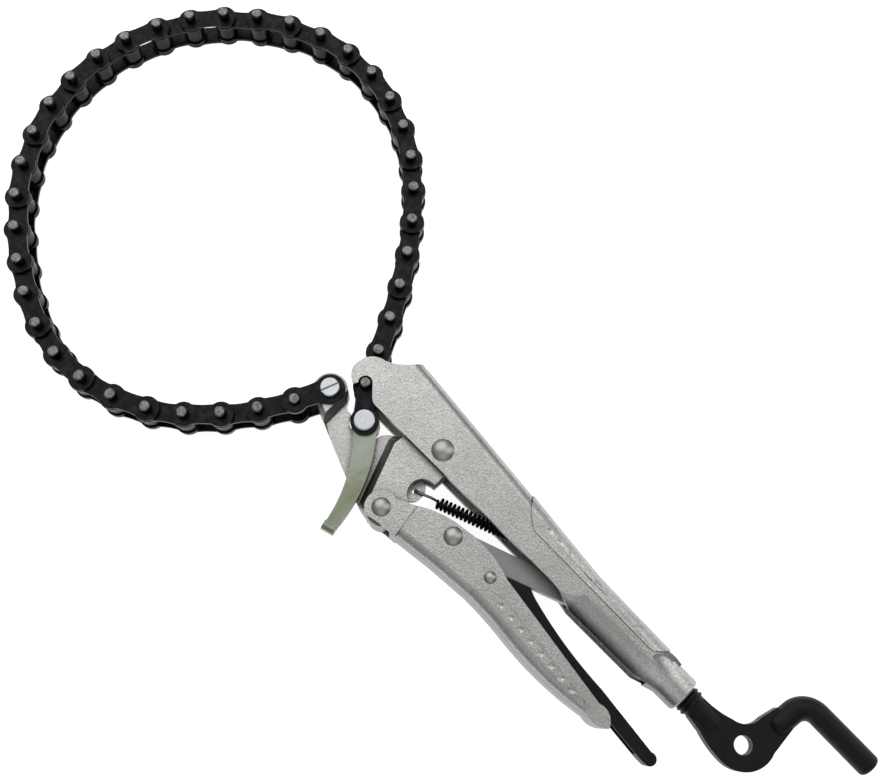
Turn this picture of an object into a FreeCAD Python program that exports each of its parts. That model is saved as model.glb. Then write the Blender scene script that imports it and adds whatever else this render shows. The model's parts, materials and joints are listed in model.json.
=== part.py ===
"""Locking chain clamp: over-centre locking pliers whose jaws are joined by a roller chain loop.

Millimetres.  The tool lies flat.  Z is the thickness, and every pivot axis is parallel to Z.
The plan is drawn with the main pivot at (0, 0), X along the adjusting screw towards its crank,
and Y towards the spine of the fixed handle.  The mid-plane of the chain is z = 0 in that plan.
At the end everything is moved so that the origin is the centre of the base of the whole tool.
"""
import FreeCAD, Part
import math
import os

V = FreeCAD.Vector

# ---------------------------------------------------------------- driving sizes
pitch = 12.7                # chain pitch, half an inch
n_links = 36                # plain links between the two end links
pin_r = 1.85                # chain pins
bush_wall = 0.64
roller_r = 3.90
inner_gap = 3.25            # half width between the inner link plates
plate_steel = 1.30          # link plates
play = 0.10                 # side play between neighbouring link plates
inner_end_r = 4.50
outer_end_r = 4.40
waist_half = 3.25

handle_gap = 6.30           # half width inside the handle channel
steel = 2.50                # pressed steel of the handle
pad_lift = 0.45             # grip pads stand this proud
pin_stand = 0.60            # pins stand out past the handle sides, so that they reach both hooks

neck_half = 1.90            # jaw neck, pressed together so that the tail lever passes
jaw_wall = 2.20             # steel of the jaw channel
side_fit = 0.20             # room beside a part that swings between two others
fit = 0.05                  # radial clearance of a turning fit

main_pivot = (0.0, 0.0)
lever_pivot = (-0.6, -28.1)
toggle_pivot = (22.9, -17.9)
toggle_end = (65.0, -2.4)
release_pivot = (40.9, -18.8)
jaw_eye = (-42.5, -12.0)    # first pin: slotted screw in the jaw eye
hook_pin = (-35.3, -2.2)    # last pin of the chain, seated in the hook
tail_pin = (-26.4, -11.25)  # rivet of the tail lever

barrel_r = 8.80             # rolled rear part of the handle
tube_r = 6.20               # threaded tube at the rear end
tube_end = 111.6
screw_r = 4.75              # 3/8 inch thread
thread_depth = 0.65
thread_pitch = 1.588
thread_fit = 0.07
screw_tip = 72.6

paddle_half = 2.40          # half thickness of the flat paddle
paddle_hole = (134.6, 1.8)
paddle_hole_r = 3.05
crank_r = 3.95
crank_bend_r = 6.6

lever_half = 8.40           # half width outside the lever channel
lever_steel = 2.40
ear_r = 5.60
toggle_half = 2.50
release_half = 4.20
release_wall = 1.20

anchor_r = 2.50             # slotted screw through the jaw eye
tail_rivet_r = 2.20
rivet_main_r = 3.00
rivet_r = 2.50
rivet_small_r = 1.50

# ---------------------------------------------------------------- sizes that follow from those
bush_bore = pin_r + 0.06
bush_r = bush_bore + bush_wall
roller_bore = bush_r + 0.07
inner_z = (inner_gap, inner_gap + plate_steel)          # inner link plates, near and far face
outer_z = (inner_z[1] + play, inner_z[1] + play + plate_steel)
end_z = (outer_z[1] + play, outer_z[1] + play + plate_steel)
plate_in = handle_gap
plate_out = handle_gap + steel
pin_half = plate_out + pin_stand
jaw_half = plate_in - side_fit
nose_half = end_z[0] - side_fit                          # jaw nose, between the end link plates
jaw_void = jaw_half - jaw_wall                           # half width inside the jaw channel
lever_out = lever_half
lever_in = lever_half - lever_steel                      # inner face of the lever sides
ear_in = jaw_half + 0.25                                 # the two ears are joggled outwards over the jaw
ear_out = ear_in + lever_steel
hook_slot_r = pin_r + 0.60                               # hook notch round the pin
screw_root = screw_r - thread_depth
tube_bore = screw_r + thread_fit
lever_z = (neck_half + 0.25, outer_z[0] - side_fit)      # tail lever, between the neck and a plate


# ---------------------------------------------------------------- small helpers
def p3(p, z=0.0):
    return V(p[0], p[1], z)


def path(items):
    """Closed wire from points.  An item (mid, end) is an arc through mid, a plain point is a line."""
    edges = []
    start = items[0]
    at = start
    for item in list(items[1:]) + [start]:
        if isinstance(item[0], tuple):
            mid, end = item
            edges.append(Part.Arc(p3(at), p3(mid), p3(end)).toShape())
            at = end
        elif math.dist(at, item) > 1e-6:
            edges.append(Part.makeLine(p3(at), p3(item)))
            at = item
    return Part.Wire(edges)


def slab(items, z0, z1):
    """A plan outline as a solid from z0 to z1."""
    face = Part.Face(path(items))
    face.translate(V(0, 0, z0))
    return face.extrude(V(0, 0, z1 - z0))


def disc(c, r, z0, z1):
    return Part.makeCylinder(r, z1 - z0, p3(c, z0))


def both(make):
    """The same shape on both sides of the mid-plane."""
    one = make()
    return one, one.mirror(V(0, 0, 0), V(0, 0, 1))


def one_solid(shape):
    """The single solid of a shape, with split faces joined again where that works."""
    try:
        shape = shape.removeSplitter()
    except Part.OCCError:
        print("  note: split faces are kept")
    solids = shape.Solids
    if len(solids) != 1:
        print("  note: expected one solid, got", len(solids), [round(s.Volume, 2) for s in solids])
    return max(solids, key=lambda s: s.Volume)


def revolve_x(points):
    """A closed (x, r) outline turned about the screw axis."""
    wire = Part.makePolygon([V(x, r, 0) for x, r in points + points[:1]])
    return Part.Face(wire).revolve(V(0, 0, 0), V(1, 0, 0), 360)


def polar(c, r, degrees):
    a = math.radians(degrees)
    return (c[0] + r * math.cos(a), c[1] + r * math.sin(a))


def heading(a, b):
    return math.degrees(math.atan2(b[1] - a[1], b[0] - a[0]))


def capsule(a, b, ra, rb):
    """Plan outline round two pivots: two arcs joined by their outer tangents."""
    d = math.dist(a, b)
    turn = math.degrees(math.asin((ra - rb) / d))
    h = heading(a, b)
    a1, a2 = polar(a, ra, h + 90 - turn), polar(a, ra, h - 90 + turn)
    b1, b2 = polar(b, rb, h + 90 - turn), polar(b, rb, h - 90 + turn)
    return [a1, (polar(a, ra, h + 180), a2), b2, (polar(b, rb, h), b1)]


def waisted(a, b, ra, rb, waist):
    """Link plate outline: two round ends and a hollow waist on each side."""
    h = heading(a, b)
    mid = ((a[0] + b[0]) / 2, (a[1] + b[1]) / 2)
    open_a = 52
    a1, a2 = polar(a, ra, h + open_a), polar(a, ra, h - open_a)
    b1, b2 = polar(b, rb, h + 180 - open_a), polar(b, rb, h + 180 + open_a)
    m1, m2 = polar(mid, waist, h + 90), polar(mid, waist, h - 90)
    return [a1, (polar(a, ra, h + 180), a2), (m2, b2), (polar(b, rb, h), b1), (m1, a1)]


def keep(name, solids):
    nodes[name] = [s.removeSplitter() if hasattr(s, "removeSplitter") else s for s in solids]


nodes = {}


# ---------------------------------------------------------------- chain route
def route(bulge):
    """Smooth loop from the jaw eye to the hook.  The bulge scales it about its middle."""
    middle = (-118.0, 6.0)
    loop = [(-54.5, -34.0), (-82, -61.5), (-117.5, -70.5), (-153, -58), (-182, -33), (-196.5, 2),
            (-192, 38.5), (-168.5, 69), (-133.5, 83), (-96, 75), (-67.5, 51), (-47, 20.5)]
    scaled = [(middle[0] + bulge * (x - middle[0]), middle[1] + bulge * (y - middle[1]))
              for x, y in loop]
    curve = Part.BSplineCurve()
    curve.interpolate([p3(p) for p in [jaw_eye] + scaled + [hook_pin]])
    return curve


def step_pins(curve, count):
    """Walk along the curve in straight steps of one pitch.  Returns the pins and the gap left."""
    first, last = curve.FirstParameter, curve.LastParameter
    u = first
    pins = [curve.value(u)]
    for _ in range(count):
        lo, hi = u, u + (last - first) * 0.06
        for _ in range(50):
            mid = (lo + hi) / 2
            if curve.value(min(mid, last)).distanceToPoint(pins[-1]) < pitch and mid <= last:
                lo = mid
            else:
                hi = mid
        u = (lo + hi) / 2
        pins.append(curve.value(min(u, last)))
    return pins, pitch - pins[-1].distanceToPoint(pins[-2]), last - u


lo_bulge, hi_bulge = 0.7, 1.5
for _ in range(45):
    bulge = (lo_bulge + hi_bulge) / 2
    found, short, left = step_pins(route(bulge), n_links + 1)
    if short > 1e-9:
        lo_bulge = bulge
    else:
        hi_bulge = bulge
found, short, left = step_pins(route(hi_bulge), n_links + 1)
pins = [(p.x, p.y) for p in found]
pins[-1] = hook_pin
print("loop bulge", round(hi_bulge, 4), "last step", round(math.dist(pins[-1], pins[-2]), 4))


# ---------------------------------------------------------------- chain
def pin_solid(c):
    body = disc(c, pin_r, -pin_half, pin_half)
    rims = [e for e in body.Edges if len(e.Vertexes) == 1]
    return body.makeChamfer(0.35, rims)


def plates(outline, z, holes):
    def one():
        plate = slab(outline, z[0], z[1])
        for c, r in holes:
            plate = plate.cut(disc(c, r, z[0] - 1, z[1] + 1))
        return plate.Solids[0]
    return list(both(one))


def tube(c, r_out, r_in, half):
    return disc(c, r_out, -half, half).cut(disc(c, r_in, -half - 1, half + 1)).Solids[0]


for k in range(n_links):
    a, b = pins[k + 1], pins[k + 2]
    name = "chain_link_%02d" % (k + 1)
    if k % 2 == 0:
        outline = waisted(a, b, outer_end_r, outer_end_r, waist_half)
        sides = plates(outline, outer_z, [(a, pin_r), (b, pin_r)])
        keep(name, sides + [pin_solid(a), pin_solid(b)])
    else:
        outline = waisted(a, b, inner_end_r, inner_end_r, waist_half)
        sides = plates(outline, inner_z, [(a, bush_r), (b, bush_r)])
        bushes = [tube(c, bush_r, bush_bore, inner_z[1]) for c in (a, b)]
        rollers = [tube(c, roller_r, roller_bore, inner_z[0] - 0.10) for c in (a, b)]
        keep(name, sides + bushes + rollers)

# end link on the jaw eye
eye, second = pins[0], pins[1]
outline = waisted(eye, second, 5.10, 4.60, 3.60)
keep("chain_end_link", plates(outline, end_z, [(eye, anchor_r + fit), (second, pin_r + fit)]))

# slotted screw through the jaw eye, with its nut on the far side
screw_body = disc(eye, anchor_r, -end_z[1] - 2.05, end_z[1] + 0.5)
head = disc(eye, 3.3, end_z[1] + 0.02, end_z[1] + 2.0)
head = head.makeFillet(0.35, [e for e in head.Edges if e.BoundBox.ZMin > end_z[1] + 1.9])
slot = Part.makeBox(8, 0.8, 1.2, V(-4, -0.4, 0))
slot.rotate(V(0, 0, 0), V(0, 0, 1), 71)
slot.translate(p3(eye, end_z[1] + 1.0))
anchor = one_solid(screw_body.fuse(head).cut(slot))
corners = [polar(eye, 4.5, 60 * i + 15) for i in range(6)]
nut = slab(corners, -end_z[1] - 1.95, -end_z[1] - 0.02).cut(disc(eye, anchor_r, -12, 0)).Solids[0]
keep("chain_anchor_screw", [anchor])
keep("chain_anchor_nut", [nut])

# tail link: one outer link whose first pin sits in the hook
hook, tail = hook_pin, tail_pin
outline = waisted(hook, tail, outer_end_r, 4.90, 3.45)
keep("tail_link", plates(outline, outer_z, [(hook, pin_r), (tail, tail_rivet_r)]) + [pin_solid(hook)])

# rivet of the tail lever, with a shoulder that spaces the lever to the near plate
rivet = disc(tail, tail_rivet_r, -outer_z[1] - 1.05, outer_z[1])
rivet = rivet.fuse(disc(tail, 3.6, -outer_z[0] + 0.05, lever_z[0] - 0.05))
rivet = rivet.fuse(disc(tail, 3.75, outer_z[1], outer_z[1] + 1.3))
rivet = rivet.fuse(disc(tail, tail_rivet_r + 1.0, -outer_z[1] - 1.05, -outer_z[1]))
rivet = one_solid(rivet)
rivet = rivet.makeFillet(0.5, [e for e in rivet.Edges
                               if abs(e.BoundBox.ZMin - outer_z[1] - 1.3) < 1e-6])
keep("tail_rivet", [rivet])

# tail lever: a flat tapered bar with its end turned over
tip = (-8.3, -44.6)
bar = slab([(-29.6, -14.0), ((-30.0, -8.6), (-24.8, -7.3)), ((-22.0, -8.2), (-20.6, -11.2)),
            ((-12.7, -22.5), (-6.2, -43.6)), (-10.6, -44.8), ((-17.2, -28.0), (-29.6, -14.0))],
           lever_z[0], lever_z[1])
end = disc((0, 0), 1.9, -2.35, 2.35)
end.rotate(V(0, 0, 0), V(0, 1, 0), 90)
end.rotate(V(0, 0, 0), V(0, 0, 1), 16)
end.translate(p3((-8.55, -44.6), lever_z[0] + 0.4))
bar = one_solid(bar.fuse(end).cut(disc(tail, tail_rivet_r + fit, 0, 6)))
keep("tail_lever", [bar])


# ---------------------------------------------------------------- fixed handle
def spine_points(inset):
    """Spine line of the handle, and the same line moved inwards by one wall."""
    return [(-26.5, 17.3 - inset), (66.0, 7.5 - inset), (96.0, 6.3 - inset), (104.0, 6.3 - inset)]


out_dir = (0.7071, -0.7071)      # way out of the hook notch
left_dir = (-0.7071, -0.7071)


def from_hook(left, out):
    return (hook_pin[0] + left * left_dir[0] + out * out_dir[0],
            hook_pin[1] + left * left_dir[1] + out * out_dir[1])


r = hook_slot_r
spine = spine_points(0)
outline = [
    from_hook(r, 0.0), (from_hook(0, -r), from_hook(-r, 0.0)), from_hook(-r, 5.6),
    (from_hook(-r - 0.5, 7.2), (-26.0, -5.4)), (54.0, -5.4), ((60.5, -6.0), (66.5, -7.7)),
    (95.0, -7.7), (tube_end, -7.7), (tube_end, 7.0), (104.0, 7.0), spine[2], spine[1],
    spine[0], ((-31.2, 11.1), (-36.1, 8.0)), ((-40.4, 5.9), (-42.3, 1.6)),
    ((-41.9, -2.2), from_hook(3.9, 0.4)),
]
outer = slab(outline, -plate_out, plate_out)


def folded(line, half, bend):
    """Everything below a spine line, with both long spine edges rounded: a sheet's bend."""
    slope = (line[1][1] - line[0][1]) / (line[1][0] - line[0][0])
    start = (-70.0, line[0][1] + slope * (-70.0 - line[0][0]))
    end = (130.0, line[-1][1])
    block = slab([(-70.0, -60.0), start] + line[1:-1] + [end, (130.0, -60.0)], -half, half)
    edges = [e for e in block.Edges if e.BoundBox.ZLength < 1e-6 and e.BoundBox.XLength > 10
             and e.BoundBox.YMin > -59]
    return block.makeFillet(bend, edges)


outer = outer.common(folded(spine, plate_out, 4.4))
round_body = revolve_x([(-60, 0), (-60, 30), (44, 30), (52, 12.6), (66, barrel_r), (95, barrel_r),
                        (103.5, tube_r), (tube_end - 1.0, tube_r), (tube_end - 0.3, tube_r - 0.3),
                        (tube_end, tube_r - 1.0), (tube_end, 0)])
upper = slab([(-60, 0), (-60, plate_out), (95, plate_out), (104, 3.0), (104, -3.0),
              (95, -plate_out), (-60, -plate_out)], 0, 30)
upper.rotate(V(0, 0, 0), V(1, 0, 0), -90)
outer = outer.common(round_body.fuse(upper))

web = spine_points(steel)
inside = slab([(-60, -12), (101.5, -12), (101.5, 20), (-24.0, 20), (-24.0, 30), (-60, 30)],
              -plate_in, plate_in)
front_gap = slab([(-60, -12), (-24.0, -12), (-24.0, 30), (-60, 30)], -plate_in, plate_in)
inside = inside.common(folded(web, plate_in, 1.9)).fuse(front_gap)
round_in = revolve_x([(-60, 0), (-60, 28), (44, 28), (52, 10.1), (66, plate_in), (95, plate_in),
                      (101.5, tube_bore), (101.5, 0)])
upper_in = slab([(-60, 0), (-60, plate_in), (94, plate_in), (101.5, 2.4), (101.5, -2.4),
                 (94, -plate_in), (-60, -plate_in)], 0, 30)
upper_in.rotate(V(0, 0, 0), V(1, 0, 0), -90)
inside = inside.common(round_in.fuse(upper_in))
seam = Part.makeBox(160, 12, 7.6, V(-60, -12, -3.8)).cut(Part.makeBox(60, 20, 20, V(99.5, -15, -10)))
seam = seam.cut(Part.makeBox(200, 20, 20, V(-60, 0, -10)))
handle = outer.cut(inside).cut(seam)
bore = Part.makeCylinder(tube_bore, 80, V(screw_tip - 1.0, 0, 0), V(1, 0, 0))
handle = handle.cut(bore)

# grip pad along the spine, with two rows of dimples
pad_area = slab([(40.5, 2.4), (93.5, 1.6), ((95.6, 3.4), (94.6, 30)), (35.0, 30),
                 ((36.6, 5.0), (40.5, 2.4))], -20, 20)
lifted = folded(spine_points(-pad_lift), plate_out + pad_lift, 4.7)
lifted = lifted.common(Part.makeBox(100, 30, 40, V(0, -2, -20)))
pad = lifted.common(pad_area).cut(inside).cut(bore)
handle = handle.fuse(pad)
for i in range(10):
    x = 44.0 + 5.0 * i
    y = 5.9 - 0.036 * (x - 44.0)
    for side in (-1, 1):
        ball = Part.makeSphere(2.2, V(x, y, side * (plate_out + pad_lift + 1.85)), V(1, 0, 0))
        handle = handle.cut(ball)

# lug inside the web for the return spring
lug = slab([(45.0, 9.0), (51.0, 8.2), (51.0, 1.0), (45.0, 1.0)], -1.0, 1.0)
handle = handle.fuse(lug).cut(disc((48.0, 2.6), 0.85, -3, 3))
handle = handle.cut(disc(main_pivot, rivet_main_r, -12, 12))
handle = one_solid(handle)
keep("fixed_handle", [handle])


# ---------------------------------------------------------------- rivets
def dome_rivet(c, shank, head_r, rise, z):
    """A round-headed rivet: heads on both faces at +z and -z."""
    ball_r = (head_r ** 2 + rise ** 2) / (2 * rise)
    body = disc(c, shank, -z - 0.2, z + 0.2)
    for side in (-1, 1):
        ball = Part.makeSphere(ball_r, p3(c, side * (z + rise - ball_r)))
        z0, z1 = sorted((side * z, side * (z + rise + 1)))
        body = body.fuse(ball.common(disc(c, head_r + 1, z0, z1)))
    return one_solid(body)


keep("main_rivet", [dome_rivet(main_pivot, rivet_main_r, 3.9, 1.5, plate_out)])
keep("lever_rivet", [dome_rivet(lever_pivot, rivet_r, 3.25, 1.3, ear_out)])
keep("toggle_rivet", [dome_rivet(toggle_pivot, rivet_r, 3.25, 1.3, lever_out)])
keep("release_rivet", [dome_rivet(release_pivot, rivet_small_r, 2.1, 0.9, lever_out)])


# ---------------------------------------------------------------- jaw
outline = [
    polar(jaw_eye, 6.0, 200), (polar(jaw_eye, 6.0, 110), polar(jaw_eye, 6.0, 35)),
    (-36.6, -9.8), ((-35.0, -11.7), (-32.3, -12.4)), ((-30.2, -15.0), (-26.5, -15.9)),
    ((-21.9, -14.9), (-19.6, -10.6)),
    ((-17.4, -8.0), (-14.0, -6.6)), (-6.6, 2.0), ((0.6, 6.6), (6.5, 1.2)), (5.9, -9.6),
    ((0.3, -15.0), (4.6, -20.2)), (4.9, -27.2), ((3.6, -32.4), (-1.6, -33.5)),
    ((-6.8, -32.8), (-11.0, -31.2)), (-46.4, -17.2),
]
body = slab(outline, -jaw_half, jaw_half)
low_edges = [e for e in body.Edges
             if e.BoundBox.XLength > 25 and e.BoundBox.ZLength < 1e-6 and e.BoundBox.YMin < -25]
body = body.makeFillet(3.2, low_edges)


def neck_prism(grow, z):
    far = grow * 1.3
    pts = [(-36.6 - grow, 4), (-35.4 - grow, -20.8 - grow * 0.2), (-29.2 - grow, -24.6),
           (-26.0 - grow, -44), (-2.4 + far, -44), (-8.4 + far, -30.0), (-16.6 + far, -9.4),
           (-15.2 + far, 4)]
    return Part.makePolygon([p3(p, z) for p in pts + pts[:1]])


def neck_cut():
    return Part.makeLoft([neck_prism(0, neck_half), neck_prism(2.6, jaw_half + 0.4)], True, True)


for cutter in both(neck_cut):
    body = body.cut(cutter)
nose_face = slab([(-60, -60), (-33.0, -60), (-33.0, 20), (-60, 20)], nose_half, 20)
for cutter in both(lambda: nose_face):
    body = body.cut(cutter)
# the channel is open towards the handle and closed along the lower left
body_void = slab([(-6.0, -28.6), (3.0, -31.0), (12, -31.0), (12, 12), (-9.5, 12), (-14.2, -9.0)],
                 -jaw_void, jaw_void)
nose_void = slab([(-39.6, 2), (-60, 2), (-60, -11.0), (-45.0, -15.2), (-39.6, -17.3)],
                 -jaw_void + 0.3, jaw_void - 0.3)
body = body.cut(body_void).cut(nose_void)
tab = slab([(-4.0, -19.5), (-4.0, -11.5), (0.5, -11.5), ((4.6, -12.4), (5.2, -15.4)),
            ((4.4, -18.4), (1.0, -19.5))], -1.1, 1.1)
tab_root = slab([(-9.0, -21.0), (-9.0, -10.5), (-3.6, -11.5), (-3.6, -19.5)], -jaw_void, jaw_void)
body = body.fuse(tab_root.common(slab(outline, -jaw_half, jaw_half))).fuse(tab)
body = body.cut(disc((2.4, -15.4), 0.95, -3, 3))
body = body.cut(disc(main_pivot, rivet_main_r + fit, -12, 12))
body = body.cut(disc(lever_pivot, rivet_r, -12, 12))
body = body.cut(disc(jaw_eye, anchor_r + fit, -12, 12))
keep("jaw", [one_solid(body)])


# ---------------------------------------------------------------- lever handle
ear = lever_pivot
top_edge = [(7.0, -19.6), ((15.0, -15.5), (23.5, -13.6)), ((33.0, -12.9), (45.5, -15.4)),
            ((70.0, -18.9), (92.8, -22.4)), ((98.6, -23.4), (100.2, -25.9))]
spine_edge = [((98.8, -27.0), (92.5, -27.6)), ((72.0, -29.4), (58.0, -28.9)),
              ((50.0, -28.2), (44.5, -28.0)), (24.0, -29.7), (7.0, -31.9)]
outline = top_edge + spine_edge
lever = slab(outline, -lever_out, lever_out)
bends = [e for e in lever.Edges if e.BoundBox.ZLength < 1e-6 and e.BoundBox.XMin > 6.9
         and e.BoundBox.YMax < -27.0 and e.BoundBox.XLength > 5.0]
lever = lever.makeFillet(3.6, bends)
hollow = slab([(0, -29.0), (24.0, -27.3), (44.5, -25.6), ((50.0, -25.7), (58.0, -26.5)),
               ((72.0, -27.0), (90.0, -25.3)), (97.0, -24.2), (104, -24.2), (104, -5), (0, -5)],
              -lever_in, lever_in)
lever = lever.cut(hollow)


def ear_side():
    side = slab([polar(ear, ear_r, 250), (polar(ear, ear_r, 170), polar(ear, ear_r, 75)),
                 (7.4, -19.4), (9.4, -31.5), (5.0, -32.0)], ear_in, ear_out)
    return side


for side in both(ear_side):
    lever = lever.fuse(side)
pad_area = slab([(49.0, -20.9), ((43.6, -22.4), (43.0, -40)), (93.6, -40),
                 ((94.2, -27.4), (90.4, -25.6))], -20, 20)
lifted = slab([(40, -18), (97, -18), (97, -27.3), ((75.0, -30.0), (58.0, -29.35)),
               ((50.0, -28.65), (40.0, -28.45))], -lever_out - pad_lift, lever_out + pad_lift)
lifted = lifted.makeFillet(3.9, [e for e in lifted.Edges
                                 if e.BoundBox.ZLength < 1e-6 and e.BoundBox.YMax < -26.5
                                 and e.BoundBox.XLength > 5.0])
pad = lifted.common(pad_area).cut(hollow)
lever = lever.fuse(pad)
for i in range(9):
    x = 49.5 + 4.9 * i
    y = -22.9 - 0.085 * (x - 49.5)
    for side in (-1, 1):
        ball = Part.makeSphere(1.9, V(x, y, side * (lever_out + pad_lift + 1.5)), V(1, 0, 0))
        lever = lever.cut(ball)
lever = lever.cut(disc(lever_pivot, rivet_r + fit, -12, 12))
lever = lever.cut(disc(toggle_pivot, rivet_r, -12, 12))
lever = lever.cut(disc(release_pivot, rivet_small_r, -12, 12))
keep("lever_handle", [one_solid(lever)])


# ---------------------------------------------------------------- toggle link
link = slab(capsule(toggle_pivot, toggle_end, 3.8, 3.4), -toggle_half, toggle_half)
link = link.fuse(disc(toggle_pivot, 3.7, -lever_in + 0.15, lever_in - 0.15))
link = link.cut(disc(toggle_pivot, rivet_r + fit, -12, 12))
keep("toggle_link", [one_solid(link)])


# ---------------------------------------------------------------- release lever
outline = [(39.0, -16.6), (52.6, -11.2), ((54.6, -12.1), (57.0, -12.9)),
           ((70.0, -15.8), (90.9, -18.1)), (115.0, -20.9), ((118.2, -22.4), (116.6, -25.0)),
           (113.5, -25.0), (92.0, -23.0), ((70.0, -21.6), (52.0, -20.2)), (44.0, -21.6),
           ((39.6, -22.0), (37.6, -19.6))]
blade = slab(outline, -release_half, release_half)
core = release_half - release_wall
hollow = slab([(30, -17.9), (39.2, -18.2), (52.6, -12.8), ((55.2, -13.8), (57.0, -14.3)),
               ((70.0, -17.1), (90.9, -19.4)), (112.0, -21.9), (112.0, -30), (30, -30)],
              -core, core)
blade = blade.cut(hollow).cut(disc(release_pivot, rivet_small_r + fit, -12, 12))
keep("release_lever", [one_solid(blade)])


# ---------------------------------------------------------------- adjusting screw
def thread_outline():
    pts = [(screw_tip, 0), (screw_tip, 2.2), (screw_tip + 2.6, screw_root)]
    x = screw_tip + 3.2
    while x + thread_pitch < 117.0:
        pts += [(x + 0.55, screw_r), (x + 0.80, screw_r), (x + 1.35, screw_root)]
        x += thread_pitch
    pts += [(x + 0.6, screw_root), (124.0, 3.9), (124.0, 0)]
    return pts


thread = revolve_x(thread_outline())
paddle = slab([(116.5, 3.7), ((122.0, 4.1), (127.0, 5.4)), ((131.3, 7.6), (133.2, 12.6)),
               (134.9, 18.6), (142.7, 17.0), (143.3, 7.0), ((141.2, -3.2), (133.0, -6.9)),
               ((127.0, -6.3), (122.0, -4.9)), (116.5, -4.0)], -paddle_half, paddle_half)
neck = Part.makeCone(3.9, paddle_half, 9.0, V(119.0, 0, 0), V(1, 0, 0))
paddle = paddle.cut(disc(paddle_hole, paddle_hole_r, -6, 6))
crank_foot, crank_corner, crank_end = (138.5, 12.0), (140.35, 26.9), (168.6, 26.1)
in_dir = heading(crank_foot, crank_corner)
turn = math.radians(in_dir - heading(crank_corner, crank_end))
setback = crank_bend_r * math.tan(turn / 2)
bend_in = polar(crank_corner, setback, in_dir + 180)
bend_out = polar(crank_corner, setback, heading(crank_corner, crank_end))
bend_mid = polar(polar(bend_in, crank_bend_r, in_dir - 90), crank_bend_r,
                 in_dir + 90 - math.degrees(turn) / 2)
bar_path = Part.Wire([Part.makeLine(p3(crank_foot), p3(bend_in)),
                      Part.Arc(p3(bend_in), p3(bend_mid), p3(bend_out)).toShape(),
                      Part.makeLine(p3(bend_out), p3(crank_end))])
ring = Part.Wire([Part.makeCircle(crank_r, p3(crank_foot),
                                  p3(crank_corner).sub(p3(crank_foot)))])
bar = bar_path.makePipeShell([ring], True, True)
foot_rim = [e for e in bar.Edges if e.BoundBox.YMax < crank_foot[1] + 1.0]
bar = bar.makeFillet(2.6, foot_rim)
end_rim = [e for e in bar.Edges if e.BoundBox.XMin > crank_end[0] - 0.5]
bar = bar.makeFillet(1.5, end_rim)
screw = thread.fuse(neck).fuse(paddle).fuse(bar)
screw = screw.cut(disc(paddle_hole, paddle_hole_r, -6, 6))
keep("adjusting_screw", [one_solid(screw)])


# ---------------------------------------------------------------- return spring
coil_from, coil_to = V(10.2, -12.6, 0), V(41.0, -1.0, 0)
axis = coil_to.sub(coil_from)
length = axis.Length
turns = 22
gap = length / turns
wire_r, coil_r = 0.5, 2.25
profile = [V(0, coil_r - 2 * wire_r, 0)]
edges = []
at = V(0, coil_r - wire_r, 0)
for i in range(turns):
    x0, x1 = gap * i, gap * (i + 1)
    end_at = V(x1, coil_r - wire_r, 0)
    edges.append(Part.Arc(at, V((x0 + x1) / 2, coil_r, 0), end_at).toShape())
    at = end_at
edges.append(Part.makeLine(at, V(length, coil_r - 2 * wire_r, 0)))
edges.append(Part.makeLine(V(length, coil_r - 2 * wire_r, 0), V(0, coil_r - 2 * wire_r, 0)))
edges.append(Part.makeLine(V(0, coil_r - 2 * wire_r, 0), V(0, coil_r - wire_r, 0)))
coil = Part.Face(Part.Wire(edges)).revolve(V(0, 0, 0), V(1, 0, 0), 360)
coil.rotate(V(0, 0, 0), V(0, 0, 1), math.degrees(math.atan2(axis.y, axis.x)))
coil.translate(coil_from)


def wire_arm(points):
    """Round wire through points: straight runs with ball joints."""
    solid = Part.makeSphere(wire_r, points[0])
    for a, b in zip(points, points[1:]):
        solid = solid.fuse(Part.makeCylinder(wire_r, a.distanceToPoint(b), a, b.sub(a)))
        solid = solid.fuse(Part.makeSphere(wire_r, b))
    return solid


unit = V(axis.x / length, axis.y / length, 0)
side = V(-unit.y, unit.x, 0)
rim = coil_r - 1.6 * wire_r
front = coil_from.add(V(side.x * rim, side.y * rim, 0))
back = coil_to.sub(V(side.x * rim, side.y * rim, 0))
front_arm = wire_arm([front.add(V(unit.x, unit.y, 0)), V(7.6, -12.9, 0), V(5.4, -14.2, 1.75),
                      V(2.4, -15.4, 1.75), V(2.4, -15.4, -1.75), V(3.6, -15.0, -1.85)])
back_arm = wire_arm([back.sub(V(unit.x, unit.y, 0)), V(43.0, -0.4, 0), V(44.6, 0.6, 1.6),
                     V(48.0, 2.6, 1.65), V(48.0, 2.6, -1.65), V(46.8, 2.0, -1.75)])
keep("return_spring", [one_solid(coil.fuse(front_arm).fuse(back_arm))])


# ---------------------------------------------------------------- base-centred frame and export
boxes = [s.optimalBoundingBox(False, False) for group in nodes.values() for s in group]
x_lo, x_hi = min(b.XMin for b in boxes), max(b.XMax for b in boxes)
y_lo, y_hi = min(b.YMin for b in boxes), max(b.YMax for b in boxes)
z_lo, z_hi = min(b.ZMin for b in boxes), max(b.ZMax for b in boxes)
shift = V(-(x_lo + x_hi) / 2, -(y_lo + y_hi) / 2, -z_lo)

os.makedirs("parts", exist_ok=True)
for name, group in nodes.items():
    for s in group:
        if not s.isValid():
            print("  not valid:", name)
    shape = Part.makeCompound(group)
    shape.translate(shift)
    shape.exportStep("parts/%s.step" % name)

print("nodes", len(nodes))
print("size", round(x_hi - x_lo, 3), round(y_hi - y_lo, 3), round(z_hi - z_lo, 3))
print("shift %.6f %.6f %.6f" % (shift.x, shift.y, shift.z))
for i, p in enumerate(pins):
    print("pin %d %.6f %.6f" % (i + 1, p[0], p[1]))
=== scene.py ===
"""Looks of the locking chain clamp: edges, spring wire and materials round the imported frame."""

import json
import math

import bmesh
import bpy
from mathutils import Matrix, Vector


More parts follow.
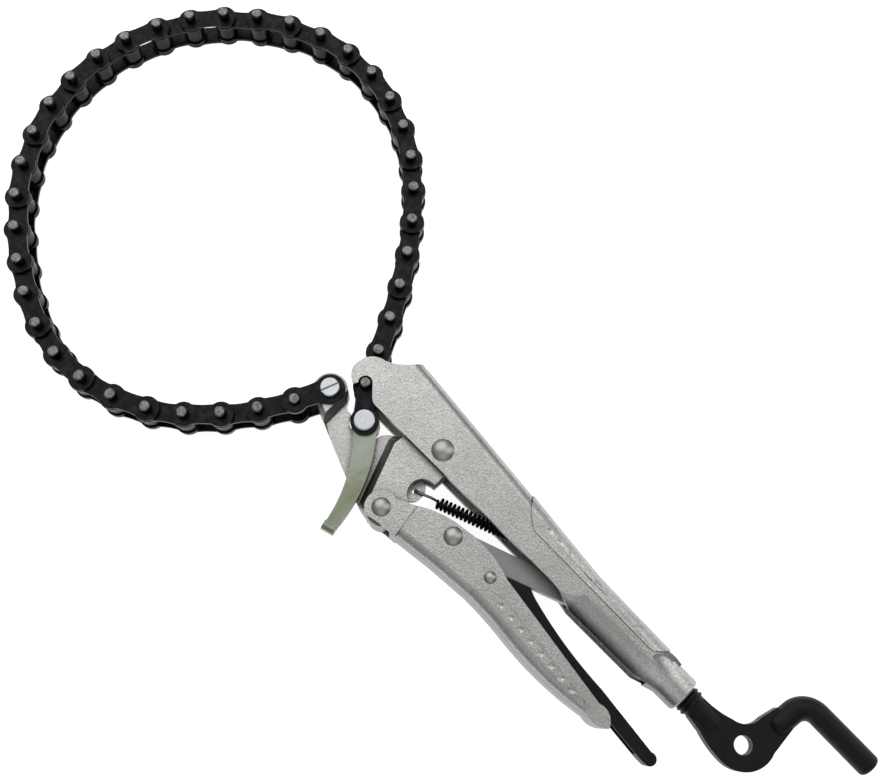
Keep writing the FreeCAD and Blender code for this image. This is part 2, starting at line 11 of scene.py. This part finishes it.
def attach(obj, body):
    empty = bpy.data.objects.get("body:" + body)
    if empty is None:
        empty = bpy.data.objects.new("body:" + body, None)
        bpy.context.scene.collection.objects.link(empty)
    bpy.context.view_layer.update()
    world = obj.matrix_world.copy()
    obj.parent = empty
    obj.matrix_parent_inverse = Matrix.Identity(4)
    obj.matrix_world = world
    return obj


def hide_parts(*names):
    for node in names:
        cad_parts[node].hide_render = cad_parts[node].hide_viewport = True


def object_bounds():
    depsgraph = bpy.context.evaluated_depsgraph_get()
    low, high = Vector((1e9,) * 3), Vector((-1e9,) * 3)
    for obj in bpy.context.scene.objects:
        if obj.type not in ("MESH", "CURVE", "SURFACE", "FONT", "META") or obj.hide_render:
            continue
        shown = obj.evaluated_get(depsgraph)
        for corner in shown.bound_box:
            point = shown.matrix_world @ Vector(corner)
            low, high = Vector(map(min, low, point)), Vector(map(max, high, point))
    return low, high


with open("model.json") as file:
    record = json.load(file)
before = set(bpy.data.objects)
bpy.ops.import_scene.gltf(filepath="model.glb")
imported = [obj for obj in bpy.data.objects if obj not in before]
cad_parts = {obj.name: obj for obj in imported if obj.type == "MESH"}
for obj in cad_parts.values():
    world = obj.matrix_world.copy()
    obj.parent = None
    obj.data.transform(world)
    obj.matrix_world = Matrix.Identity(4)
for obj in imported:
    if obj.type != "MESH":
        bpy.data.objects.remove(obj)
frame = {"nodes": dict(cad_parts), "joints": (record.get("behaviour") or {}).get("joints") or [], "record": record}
cad_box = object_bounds()
scene = bpy.context.scene
MM = 0.001

joints = {j["name"]: j for j in frame["joints"]}
nodes_of = frame["record"]["behaviour"]["bodies"]
body_of = {n: body for body, members in nodes_of.items() for n in members}
slot_of = {s["node"]: s["material_slot"] for s in frame["record"]["subparts"]}
lowest_z = cad_box[0][2]
pivot = Vector(joints["jaw_pivot"]["pos_m"])


def at_mm(point):
    """A place given in mm from the main pivot."""
    return pivot + Vector(point) * MM


def stands_for(piece, node):
    """The piece takes the node's place, on the node's body."""
    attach(piece, body_of[node])
    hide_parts(node)



# ------------------------------------------------------------------ camera
CAMERA_AT = Vector((0.0696, -0.0746, 0.3783))
LOOKS_AT = Vector((-0.0011, 0.0098, 0.0103))
UP_HEADING = 135.3          # degrees in the plan, the way that is up in the picture
LENS = 45.1


def make_camera():
    data = bpy.data.cameras.new("camera")
    data.lens, data.sensor_width = LENS, 36.0
    data.clip_start, data.clip_end = 0.01, 20
    camera = bpy.data.objects.new("camera", data)
    ahead = (LOOKS_AT - CAMERA_AT).normalized()
    hint = Vector((math.cos(math.radians(UP_HEADING)), math.sin(math.radians(UP_HEADING)), 0))
    right = ahead.cross(hint).normalized()
    up = right.cross(ahead)
    turn = Matrix((right, up, -ahead)).transposed()
    camera.matrix_world = Matrix.Translation(CAMERA_AT) @ turn.to_4x4()
    scene.collection.objects.link(camera)
    scene.camera = camera


# ------------------------------------------------------------------ light and floor
LIGHTS = [                  # name, place and aim in metres, width and height, power
    ("key", (-0.55, 0.30, 0.70), (0, 0, 0), (1.1, 1.1), 4.2),
    ("fill", (0.6, -0.5, 0.6), (0, 0, 0), (0.9, 0.9), 1.0),
    ("strip", (0.40, 0.60, 0.45), (0.03, 0, 0), (0.35, 1.3), 1.6),
]
SKY = [(0.12, (0.14, 0.14, 0.14, 1)), (0.92, (0.36, 0.356, 0.352, 1))]      # height in the sky, colour
FLOOR_SIZE = 6
FLOOR_DROP = 0.0002         # the floor lies this far under the lowest point
FLOOR_GLOW = 0.92           # own light, so that the floor stays white under a dim sky


def area_light(name, at, aim, size, power):
    data = bpy.data.lights.new(name, "AREA")
    data.shape, data.size, data.size_y = "RECTANGLE", size[0], size[1]
    data.energy = power
    lamp = bpy.data.objects.new(name, data)
    direction = Vector(aim) - Vector(at)
    lamp.matrix_world = Matrix.Translation(at) @ direction.to_track_quat("-Z", "Y").to_matrix().to_4x4()
    scene.collection.objects.link(lamp)


def make_studio():
    world = bpy.data.worlds.new("studio")
    world.use_nodes = True
    tree = world.node_tree
    split = tree.nodes.new("ShaderNodeSeparateXYZ")
    tree.links.new(tree.nodes.new("ShaderNodeTexCoord").outputs["Generated"], split.inputs[0])
    sky = tree.nodes.new("ShaderNodeValToRGB")
    for element, (height, colour) in zip(sky.color_ramp.elements, SKY):
        element.position, element.color = height, colour
    tree.links.new(split.outputs["Z"], sky.inputs["Fac"])
    tree.links.new(sky.outputs["Color"], tree.nodes["Background"].inputs["Color"])
    scene.world = world
    for light in LIGHTS:
        area_light(*light)
    bpy.ops.mesh.primitive_plane_add(size=FLOOR_SIZE, location=(0, 0, lowest_z - FLOOR_DROP))
    floor = bpy.context.object
    floor.name = "floor"
    white = Nodes("floor_white")
    white.set(Base_Color=(0.45, 0.45, 0.45, 1), Roughness=0.95, Specular_IOR_Level=0.0,
              Emission_Color=(1, 1, 1, 1), Emission_Strength=FLOOR_GLOW)
    floor.data.materials.append(white.material)


# ------------------------------------------------------------------ material helpers
class Nodes:
    """A short way to write a node tree round one Principled shader."""

    def __init__(self, name):
        self.material = bpy.data.materials.new(name)
        self.material.use_nodes = True
        self.tree = self.material.node_tree
        self.shader = self.tree.nodes["Principled BSDF"]
        self.place = self.add("ShaderNodeTexCoord").outputs["Object"]

    def add(self, kind, **settings):
        node = self.tree.nodes.new(kind)
        for key, value in settings.items():
            setattr(node, key, value)
        return node

    def link(self, source, target):
        self.tree.links.new(source, target)

    def put(self, socket, value):
        if isinstance(value, bpy.types.NodeSocket):
            self.link(value, socket)
        else:
            socket.default_value = value

    def set(self, **values):
        for key, value in values.items():
            self.put(self.shader.inputs[key.replace("_", " ")], value)

    def noise(self, scale, detail=4.0, rough=0.55, place=None, stretch=None):
        place = place or self.place
        if stretch:
            mapping = self.add("ShaderNodeMapping")
            mapping.inputs["Scale"].default_value = stretch
            self.link(place, mapping.inputs["Vector"])
            place = mapping.outputs["Vector"]
        node = self.add("ShaderNodeTexNoise")
        self.link(place, node.inputs["Vector"])
        node.inputs["Scale"].default_value = scale
        node.inputs["Detail"].default_value = detail
        node.inputs["Roughness"].default_value = rough
        return node.outputs["Fac"]

    def ramp(self, source, stops):
        node = self.add("ShaderNodeValToRGB")
        ramp = node.color_ramp
        while len(ramp.elements) < len(stops):
            ramp.elements.new(0.5)
        for element, (at, colour) in zip(ramp.elements, stops):
            element.position = at
            colour = (colour,) * 3 if isinstance(colour, (int, float)) else colour
            element.color = (*colour, 1)
        self.link(source, node.inputs["Fac"])
        return node.outputs["Color"]

    def mix(self, factor, a, b):
        node = self.add("ShaderNodeMix", data_type="RGBA")
        self.put(node.inputs[0], factor)
        self.put(node.inputs[6], a if isinstance(a, bpy.types.NodeSocket) else (*a, 1))
        self.put(node.inputs[7], b if isinstance(b, bpy.types.NodeSocket) else (*b, 1))
        return node.outputs[2]

    def math(self, operation, a, b=0.0, c=0.0, clamp=False):
        node = self.add("ShaderNodeMath", operation=operation, use_clamp=clamp)
        for socket, value in zip(node.inputs, (a, b, c)):
            self.put(socket, value)
        return node.outputs[0]

    def bump(self, *layers):
        """Each layer is (height source, distance in metres, strength)."""
        normal = None
        for source, distance, strength in layers:
            node = self.add("ShaderNodeBump")
            node.inputs["Distance"].default_value = distance
            node.inputs["Strength"].default_value = strength
            self.link(source, node.inputs["Height"])
            if normal:
                self.link(normal, node.inputs["Normal"])
            normal = node.outputs["Normal"]
        self.link(normal, self.shader.inputs["Normal"])

    def painted_corner_shade(self, reach):
        """Painted shade for corners: 0 deep in a corner and 1 in the open, where reach is how far the painted
        shade creeps out of the corner.
        """
        node = self.add("ShaderNodeAmbientOcclusion", samples=6)
        node.inputs["Distance"].default_value = reach
        return self.ramp(node.outputs["AO"], [(0.30, 0.0), (0.85, 1.0)])


    def painted_wall_shade(self, low_at, high_at):
        """0 on walls and 1 on faces that look up or down, for painted shade that darkens the walls."""
        split = self.add("ShaderNodeSeparateXYZ")
        self.link(self.add("ShaderNodeNewGeometry").outputs["Normal"], split.inputs[0])
        return self.ramp(self.math("ABSOLUTE", split.outputs["Z"]), [(low_at, 0.0), (high_at, 1.0)])


# ------------------------------------------------------------------ materials
def nickel_material():
    """Satin nickel over blasted pressed steel: fine grain, cloudy patches, painted shade on the walls and in the
    corners.
    """
    n = Nodes("satin_nickel")
    clouds = n.noise(55, 5)
    grain = n.noise(2600, 2, 0.6)
    colour = n.mix(n.ramp(clouds, [(0.35, 0.0), (0.7, 1.0)]), (0.60, 0.59, 0.575), (0.74, 0.73, 0.715))
    colour = n.mix(n.ramp(grain, [(0.40, 0.0), (0.62, 0.8)]), colour, (0.36, 0.355, 0.345))
    # painted shade: faces that look sideways are darkened
    colour = n.mix(n.painted_wall_shade(0.12, 0.80), (0.20, 0.195, 0.187), colour)
    # painted shade: corners and gaps between parts are darkened
    colour = n.mix(n.painted_corner_shade(0.0034), (0.045, 0.043, 0.04), colour)
    rough = n.math("MULTIPLY_ADD", grain, 0.16, 0.25)
    n.set(Base_Color=colour, Metallic=1.0, Roughness=rough)
    n.bump((n.noise(1500, 3, 0.65), 0.00016, 0.7), (n.noise(220, 3), 0.00035, 0.25))
    return n.material


def rivet_material():
    """The same nickel, smoother, as on a pressed rivet head."""
    n = Nodes("rivet_nickel")
    clouds = n.noise(300, 3)
    colour = n.mix(clouds, (0.42, 0.41, 0.395), (0.56, 0.55, 0.535))
    # painted shade: the steep rim of each dome is darkened
    colour = n.mix(n.painted_wall_shade(0.55, 0.93), (0.13, 0.127, 0.12), colour)
    # painted shade: the corner round each head is darkened
    n.set(Base_Color=n.mix(n.painted_corner_shade(0.0012), (0.05, 0.048, 0.045), colour), Metallic=1.0, Roughness=0.40)
    n.bump((n.noise(1500, 2), 0.00005, 0.35))
    return n.material


PIN_ENDS_FROM = 0.0088      # distance from the middle plane past which a chain face is a pin end


def chain_material():
    """Black oxide chain plates, with dull steel pin ends standing out past the plates."""
    n = Nodes("black_chain")
    split = n.add("ShaderNodeSeparateXYZ")
    n.link(n.place, split.inputs[0])
    off = n.math("ABSOLUTE", n.math("SUBTRACT", split.outputs["Z"], pivot.z))
    facing = n.add("ShaderNodeSeparateXYZ")
    n.link(n.add("ShaderNodeNewGeometry").outputs["Normal"], facing.inputs[0])
    flat = n.math("GREATER_THAN", n.math("ABSOLUTE", facing.outputs["Z"]), 0.6)
    is_pin = n.math("MULTIPLY", n.math("GREATER_THAN", off, PIN_ENDS_FROM), flat)
    worn = n.noise(420, 5, 0.62)
    black = n.mix(n.ramp(worn, [(0.45, 0.0), (0.75, 1.0)]), (0.008, 0.008, 0.010), (0.028, 0.028, 0.032))
    speckle = n.ramp(n.noise(1300, 4), [(0.35, 0.0), (0.65, 1.0)])
    pin = n.mix(speckle, (0.10, 0.095, 0.09), (0.30, 0.29, 0.28))
    n.set(Base_Color=n.mix(is_pin, black, pin), Metallic=0.85,
          Roughness=n.math("MULTIPLY_ADD", worn, 0.22, 0.24))
    n.bump((n.noise(1700, 3, 0.6), 0.00006, 0.35), (n.noise(260, 2), 0.0003, 0.2))
    return n.material


def black_material():
    """Black oxide on forged or pressed steel."""
    n = Nodes("black_oxide")
    worn = n.noise(300, 5, 0.6)
    colour = n.mix(n.ramp(worn, [(0.42, 0.0), (0.75, 1.0)]), (0.006, 0.006, 0.0065), (0.011, 0.011, 0.012))
    n.set(Base_Color=colour, Metallic=0.6, Roughness=n.math("MULTIPLY_ADD", worn, 0.12, 0.42))
    n.bump((n.noise(1400, 3, 0.6), 0.00008, 0.5), (n.noise(150, 3), 0.0004, 0.22))
    return n.material


def grey_steel_material():
    n = Nodes("grey_steel")
    clouds = n.noise(70, 5)
    n.set(Base_Color=n.mix(clouds, (0.26, 0.255, 0.25), (0.40, 0.395, 0.39)), Metallic=1.0,
          Roughness=n.math("MULTIPLY_ADD", n.noise(900, 3), 0.2, 0.34))
    n.bump((n.noise(1500, 3), 0.00008, 0.4), (n.noise(240, 2), 0.0003, 0.2))
    return n.material


def zinc_material():
    """Bright bluish zinc with fine turning and handling marks."""
    n = Nodes("bright_zinc")
    clouds = n.noise(160, 4)
    n.set(Base_Color=n.mix(clouds, (0.48, 0.51, 0.54), (0.64, 0.66, 0.68)), Metallic=1.0,
          Roughness=n.math("MULTIPLY_ADD", n.noise(700, 3), 0.18, 0.2))
    n.bump((n.noise(1200, 3), 0.00006, 0.35))
    return n.material


def chromate_material():
    """Zinc with a greenish passivation that clouds from grey to olive along the lever."""
    n = Nodes("greenish_zinc")
    clouds = n.noise(75, 6, 0.65, stretch=(1.0, 0.45, 1.0))
    patches = n.noise(210, 4)
    colour = n.mix(n.ramp(clouds, [(0.36, 0.0), (0.62, 1.0)]), (0.36, 0.41, 0.36), (0.27, 0.29, 0.19))
    colour = n.mix(n.ramp(patches, [(0.55, 0.0), (0.75, 0.6)]), colour, (0.46, 0.43, 0.41))
    n.set(Base_Color=colour, Metallic=0.95, Roughness=n.math("MULTIPLY_ADD", patches, 0.2, 0.24))
    n.bump((n.noise(900, 3), 0.00008, 0.35), (n.noise(160, 2), 0.0003, 0.2))
    return n.material


def spring_material():
    """Black spring wire, with the front hook bare grey where the finish has worn off."""
    n = Nodes("spring_black")
    along = (COIL_TO - COIL_FROM).normalized()
    start = at_mm(COIL_FROM)
    ahead = n.add("ShaderNodeVectorMath", operation="DOT_PRODUCT")
    n.link(n.place, ahead.inputs[0])
    ahead.inputs[1].default_value = along
    coil = n.math("GREATER_THAN", ahead.outputs["Value"], start.dot(along) - 0.0002)
    n.set(Base_Color=n.mix(coil, (0.30, 0.29, 0.28), (0.008, 0.008, 0.009)), Metallic=0.8,
          Roughness=n.math("MULTIPLY_ADD", n.noise(600, 3), 0.2, 0.25))
    return n.material


def make_materials():
    return {
        "nickel_steel": nickel_material(),
        "toggle_steel": grey_steel_material(),
        "black_steel": black_material(),
        "chain_black": chain_material(),
        "spring_black": spring_material(),
        "zinc_steel": zinc_material(),
        "chromate_steel": chromate_material(),
    }


# ------------------------------------------------------------------ metal pieces with broken edges
WELD = 2e-6                 # vertices closer than this are one
FLAT_ANGLE = 0.8            # degrees, faces closer than this to one plane are joined
SHARP_ANGLE = 42            # degrees, edges sharper than this are broken
EDGE_SEGMENTS = 2


def bare_mesh(node):
    """The node's mesh, welded, with the flat triangles joined into whole faces."""
    mesh = frame["nodes"][node].data.copy()
    work = bmesh.new()
    work.from_mesh(mesh)
    bmesh.ops.remove_doubles(work, verts=work.verts, dist=WELD)
    bmesh.ops.dissolve_limit(work, angle_limit=math.radians(FLAT_ANGLE), use_dissolve_boundaries=False,
                             verts=work.verts, edges=work.edges)
    work.to_mesh(mesh)
    work.free()
    return mesh


def edged(node, width, material):
    """Stands for the node with its sharp edges broken to that width, as a press leaves them."""
    mesh = bare_mesh(node)
    piece = bpy.data.objects.new(node + "_finished", mesh)
    scene.collection.objects.link(piece)
    mesh.materials.clear()
    mesh.materials.append(material)
    bevel = piece.modifiers.new("edges", "BEVEL")
    bevel.width, bevel.segments, bevel.limit_method = width, EDGE_SEGMENTS, "ANGLE"
    bevel.angle_limit = math.radians(SHARP_ANGLE)
    bevel.miter_outer = "MITER_ARC"
    mesh.shade_smooth()
    flat = piece.modifiers.new("normals", "WEIGHTED_NORMAL")
    flat.keep_sharp = True
    stands_for(piece, node)


# ------------------------------------------------------------------ return spring as a wound wire
COIL_FROM, COIL_TO = Vector((10.2, -12.6, 0)), Vector((41.0, -1.0, 0))
COIL_TURNS, STEPS_A_TURN = 22, 20
COIL_R, WIRE_R = 2.25, 0.5
FRONT_HOOK = [(7.6, -12.9, 0), (5.4, -14.2, 1.75), (2.4, -15.4, 1.75), (2.4, -15.4, -1.75),
              (3.6, -15.0, -1.85)]
BACK_HOOK = [(43.0, -0.4, 0), (44.6, 0.6, 1.6), (48.0, 2.6, 1.65), (48.0, 2.6, -1.65),
             (46.8, 2.0, -1.75)]


def wound_wire():
    """The wire's middle line in mm: front hook, coil that opens from and closes to it, back hook."""
    along = (COIL_TO - COIL_FROM).normalized()
    side = Vector((-along.y, along.x, 0))
    length = (COIL_TO - COIL_FROM).length
    steps = COIL_TURNS * STEPS_A_TURN
    points = [Vector(p) for p in reversed(FRONT_HOOK)]
    for i in range(steps + 1):
        turn = 2 * math.pi * COIL_TURNS * i / steps
        spread = (COIL_R - WIRE_R) * min(1.0, 0.25 + i / 12, 0.25 + (steps - i) / 12)
        points.append(COIL_FROM + along * (length * i / steps)
                      + side * (spread * math.cos(turn)) + Vector((0, 0, spread * math.sin(turn))))
    points += [Vector(p) for p in BACK_HOOK]
    return points


def make_spring(material):
    curve = bpy.data.curves.new("spring_wire", "CURVE")
    curve.dimensions = "3D"
    curve.bevel_depth, curve.bevel_resolution = WIRE_R * MM, 3
    curve.use_fill_caps = True
    points = wound_wire()
    spline = curve.splines.new("POLY")
    spline.points.add(len(points) - 1)
    for place, point in zip(spline.points, points):
        place.co = (*at_mm(point), 1)
    drawn = bpy.data.objects.new("spring_curve", curve)
    scene.collection.objects.link(drawn)
    bpy.context.view_layer.update()
    mesh = bpy.data.meshes.new_from_object(drawn)
    bpy.data.objects.remove(drawn)
    piece = bpy.data.objects.new("return_spring_wire", mesh)
    scene.collection.objects.link(piece)
    mesh.materials.clear()
    mesh.materials.append(material)
    mesh.shade_smooth()
    stands_for(piece, "return_spring")


# ------------------------------------------------------------------ domed rivets
RIVET_RISE = {"main_rivet": 1.5, "lever_rivet": 1.3, "toggle_rivet": 1.3, "release_rivet": 0.9}
SHANK_SHARE = 0.76          # shank radius over head radius
RIVET_CREASE = 40           # degrees, the rim between dome and shoulder stays crisp
DOME_RINGS = 12


def lathe(name, centre, profile, steps=56):
    """A closed surface of revolution about Z: profile is (radius, height) from one pole to the other."""
    work = bmesh.new()
    rings = []
    for radius, height in profile:
        if radius < 1e-7:
            rings.append([work.verts.new((centre.x, centre.y, height))])
            continue
        ring = []
        for i in range(steps):
            a = 2 * math.pi * i / steps
            x, y = centre.x + radius * math.cos(a), centre.y + radius * math.sin(a)
            ring.append(work.verts.new((x, y, height)))
        rings.append(ring)
    for one, two in zip(rings, rings[1:]):
        for i in range(steps):
            j = (i + 1) % steps
            corners = [one[i % len(one)], one[j % len(one)], two[j % len(two)], two[i % len(two)]]
            work.faces.new(list(dict.fromkeys(corners)))
    mesh = bpy.data.meshes.new(name)
    work.to_mesh(mesh)
    work.free()
    piece = bpy.data.objects.new(name, mesh)
    scene.collection.objects.link(piece)
    return piece


def make_rivet(node, material):
    """A rivet with a dome at each end, sized from the node's box."""
    box = [frame["nodes"][node].matrix_world @ Vector(c) for c in frame["nodes"][node].bound_box]
    centre = sum(box, Vector()) / 8
    top = max(v.z for v in box)
    head = (max(v.x for v in box) - min(v.x for v in box)) / 2
    rise = RIVET_RISE[node] * MM
    ball = (head * head + rise * rise) / (2 * rise)
    widest = math.asin(min(1.0, head / ball))
    near = []
    for i in range(DOME_RINGS + 1):
        a = widest * (1 - i / DOME_RINGS)
        near.append((ball * math.sin(a), top - ball + ball * math.cos(a)))
    near = [(head * SHANK_SHARE, near[0][1])] + near
    far = [(r, 2 * centre.z - z) for r, z in reversed(near)]
    piece = lathe(node + "_domed", centre, far + near)
    piece.data.materials.append(material)
    piece.data.shade_smooth()
    crease = piece.modifiers.new("crease", "EDGE_SPLIT")
    crease.split_angle = math.radians(RIVET_CREASE)
    stands_for(piece, node)


# ------------------------------------------------------------------ how far each edge is broken, in mm
LINK_EDGE = 0.14
EDGE_WIDTHS = {
    "fixed_handle": 0.30, "jaw": 0.35, "lever_handle": 0.30, "toggle_link": 0.35, "release_lever": 0.25,
    "tail_lever": 0.22, "adjusting_screw": 0.25, "chain_anchor_nut": 0.25, "chain_anchor_screw": 0.15,
    "tail_rivet": 0.15, "chain_end_link": 0.16, "tail_link": 0.16,
}

make_camera()
make_studio()
materials = make_materials()
rivet_finish = rivet_material()
for node, slot in slot_of.items():
    obj = frame["nodes"][node]
    obj.data.materials.clear()
    obj.data.materials.append(materials[slot])
    width = EDGE_WIDTHS.get(node, LINK_EDGE if node.startswith("chain_link") else 0)
    if width:
        edged(node, width * MM, materials[slot])
    if node in RIVET_RISE:
        make_rivet(node, rivet_finish)
make_spring(materials["spring_black"])

scene.view_settings.view_transform = "Standard"
scene.view_settings.look = "None"
